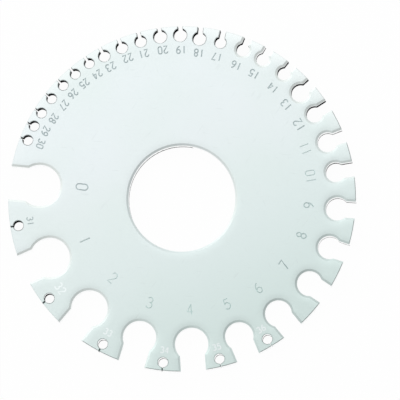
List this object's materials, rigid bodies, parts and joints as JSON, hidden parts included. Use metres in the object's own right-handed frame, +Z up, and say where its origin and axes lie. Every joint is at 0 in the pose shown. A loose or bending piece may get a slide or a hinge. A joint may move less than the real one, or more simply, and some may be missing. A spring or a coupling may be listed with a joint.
{
  "type": "sheet metal gauge",
  "caption": "Round flat steel gauge for sheet metal: a ring of notches of falling standard widths, each with a round relief hole, and a large hole in the middle.",
  "frame": {"origin": "middle of the plate on its back, which is the face it lies on", "axes": "+Z up out of the numbered face, the widest notch towards -X, +Y towards the upper edge of the picture"},
  "size_m": [0.0826, 0.0826, 0.0032],
  "materials": {
    "satin_steel": "satin, tumbled plate"
  },
  "bodies": {
    "root": {"gauge_plate": "satin_steel"}
  },
  "joints": []
}
